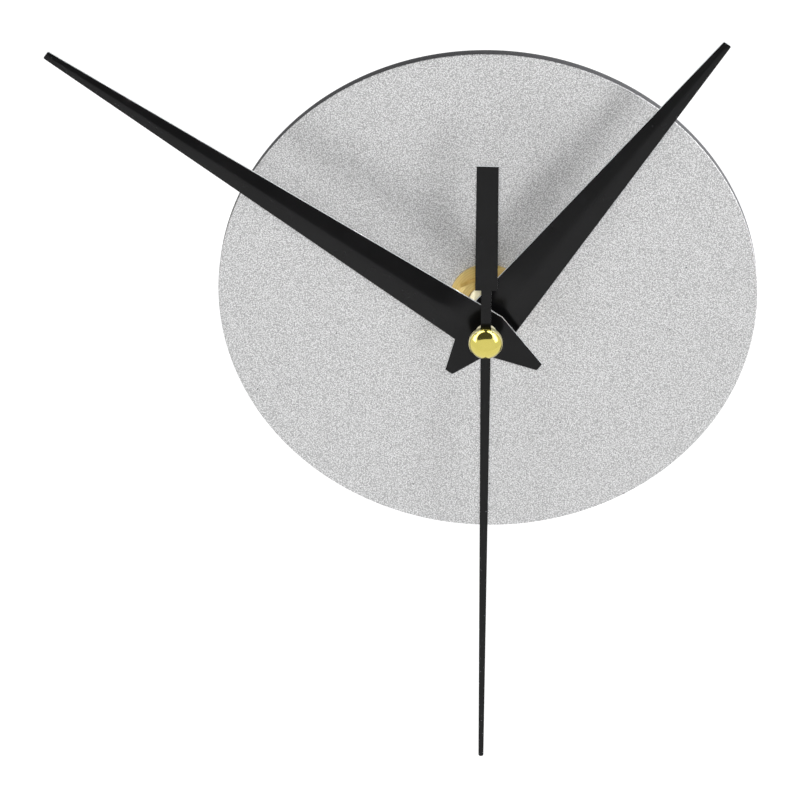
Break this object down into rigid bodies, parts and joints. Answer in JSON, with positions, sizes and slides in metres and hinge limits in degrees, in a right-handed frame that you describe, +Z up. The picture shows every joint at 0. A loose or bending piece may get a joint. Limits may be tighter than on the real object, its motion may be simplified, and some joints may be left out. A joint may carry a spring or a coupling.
{
  "type": "frameless wall clock",
  "caption": "Frameless wall clock: a round silver dial on a quartz movement, with long black hands that reach past its edge and turn through a meshed wheel train.",
  "frame": {"origin": "where the shaft's axis meets the wall, on the flat back of the movement", "axes": "+Z up, front of the clock towards -Y, +Y into the wall along the shaft"},
  "size_m": [0.1553, 0.0438, 0.1811],
  "materials": {
    "dial_silver": "fine silver sand texture, dark grey edge",
    "hand_black": "satin black lacquer",
    "brass_plain": "turned brass",
    "gold_polished": "polished gold",
    "case_black": "fine matt black",
    "gear_white": "plain moulded",
    "rubber_black": "matt",
    "steel_plain": "bright",
    "magnet_grey": "sintered",
    "copper_wire": "enamelled copper wire",
    "board_green": "solder mask",
    "chip_resin": "cast resin",
    "cell_jacket": "plain sleeve with bright ends"
  },
  "bodies": {
    "clock_body": {"dial_plate": "dial_silver", "rubber_gasket": "rubber_black", "brass_washer": "brass_plain", "hex_nut": "brass_plain", "threaded_bush": "brass_plain", "movement_case": "case_black", "rear_cover": "case_black", "middle_plate": "gear_white", "stator": "steel_plain", "coil_core": "steel_plain", "coil_bobbin": "case_black", "coil_winding": "copper_wire", "circuit_board": "board_green", "chip_cap": "chip_resin", "quartz_crystal": "steel_plain", "positive_contact": "steel_plain", "negative_contact": "steel_plain"},
    "second_work": {"second_arbor": "steel_plain", "second_wheel": "gear_white", "second_hand": "hand_black", "second_hand_tube": "brass_plain", "second_hand_cap": "gold_polished"},
    "minute_work": {"minute_pipe": "brass_plain", "clutch_spring": "steel_plain", "minute_hand": "hand_black", "minute_hand_bush": "brass_plain"},
    "hour_work": {"hour_tube": "brass_plain", "hour_wheel": "gear_white", "hour_hand": "hand_black", "hour_hand_bush": "brass_plain"},
    "centre_work": {"centre_wheel": "gear_white"},
    "third_work": {"third_wheel": "gear_white"},
    "fifth_work": {"fifth_wheel": "gear_white"},
    "rotor": {"rotor_pinion": "gear_white", "rotor_magnet": "magnet_grey"},
    "transfer_work": {"transfer_wheel": "gear_white"},
    "knob": {"setting_knob": "case_black"},
    "cell": {"battery_cell": "cell_jacket"}
  },
  "joints": [
    {"name": "second_turn", "type": "hinge", "parent": "clock_body", "child": "second_work", "pos_m": [0, 0, 0], "axis": [0, 1, 0], "continuous": true},
    {"name": "fifth_turn", "type": "hinge", "parent": "clock_body", "child": "fifth_work", "pos_m": [-0.00891, 0, 0.00125], "axis": [0, 1, 0], "continuous": true},
    {"name": "rotor_turn", "type": "hinge", "parent": "clock_body", "child": "rotor", "pos_m": [-0.01625, 0, 0.00322], "axis": [0, 1, 0], "continuous": true},
    {"name": "third_turn", "type": "hinge", "parent": "clock_body", "child": "third_work", "pos_m": [0.00285, 0, 0.01063], "axis": [0, 1, 0], "continuous": true},
    {"name": "centre_turn", "type": "hinge", "parent": "clock_body", "child": "centre_work", "pos_m": [0, 0, 0], "axis": [0, 1, 0], "continuous": true},
    {"name": "minute_turn", "type": "hinge", "parent": "clock_body", "child": "minute_work", "pos_m": [0, 0, 0], "axis": [0, 1, 0], "continuous": true},
    {"name": "transfer_turn", "type": "hinge", "parent": "clock_body", "child": "transfer_work", "pos_m": [0.01034, 0, 0.00376], "axis": [0, 1, 0], "continuous": true},
    {"name": "hour_turn", "type": "hinge", "parent": "clock_body", "child": "hour_work", "pos_m": [0, 0, 0], "axis": [0, 1, 0], "continuous": true},
    {"name": "knob_turn", "type": "hinge", "parent": "clock_body", "child": "knob", "pos_m": [0.01584, 0, 0.01329], "axis": [0, 1, 0], "continuous": true},
    {"name": "cell_lift", "type": "slide", "parent": "clock_body", "child": "cell", "axis": [0, 1, 0], "range_m": [0, 0.02]}
  ],
  "couplings": [
    {"joint": "fifth_turn", "follows": "second_turn", "ratio": -5},
    {"joint": "rotor_turn", "follows": "second_turn", "ratio": 30},
    {"joint": "third_turn", "follows": "second_turn", "ratio": -0.13333},
    {"joint": "centre_turn", "follows": "second_turn", "ratio": 0.016667},
    {"joint": "transfer_turn", "follows": "minute_turn", "ratio": -0.33333},
    {"joint": "hour_turn", "follows": "minute_turn", "ratio": 0.083333},
    {"joint": "knob_turn", "follows": "minute_turn", "ratio": 1}
  ]
}
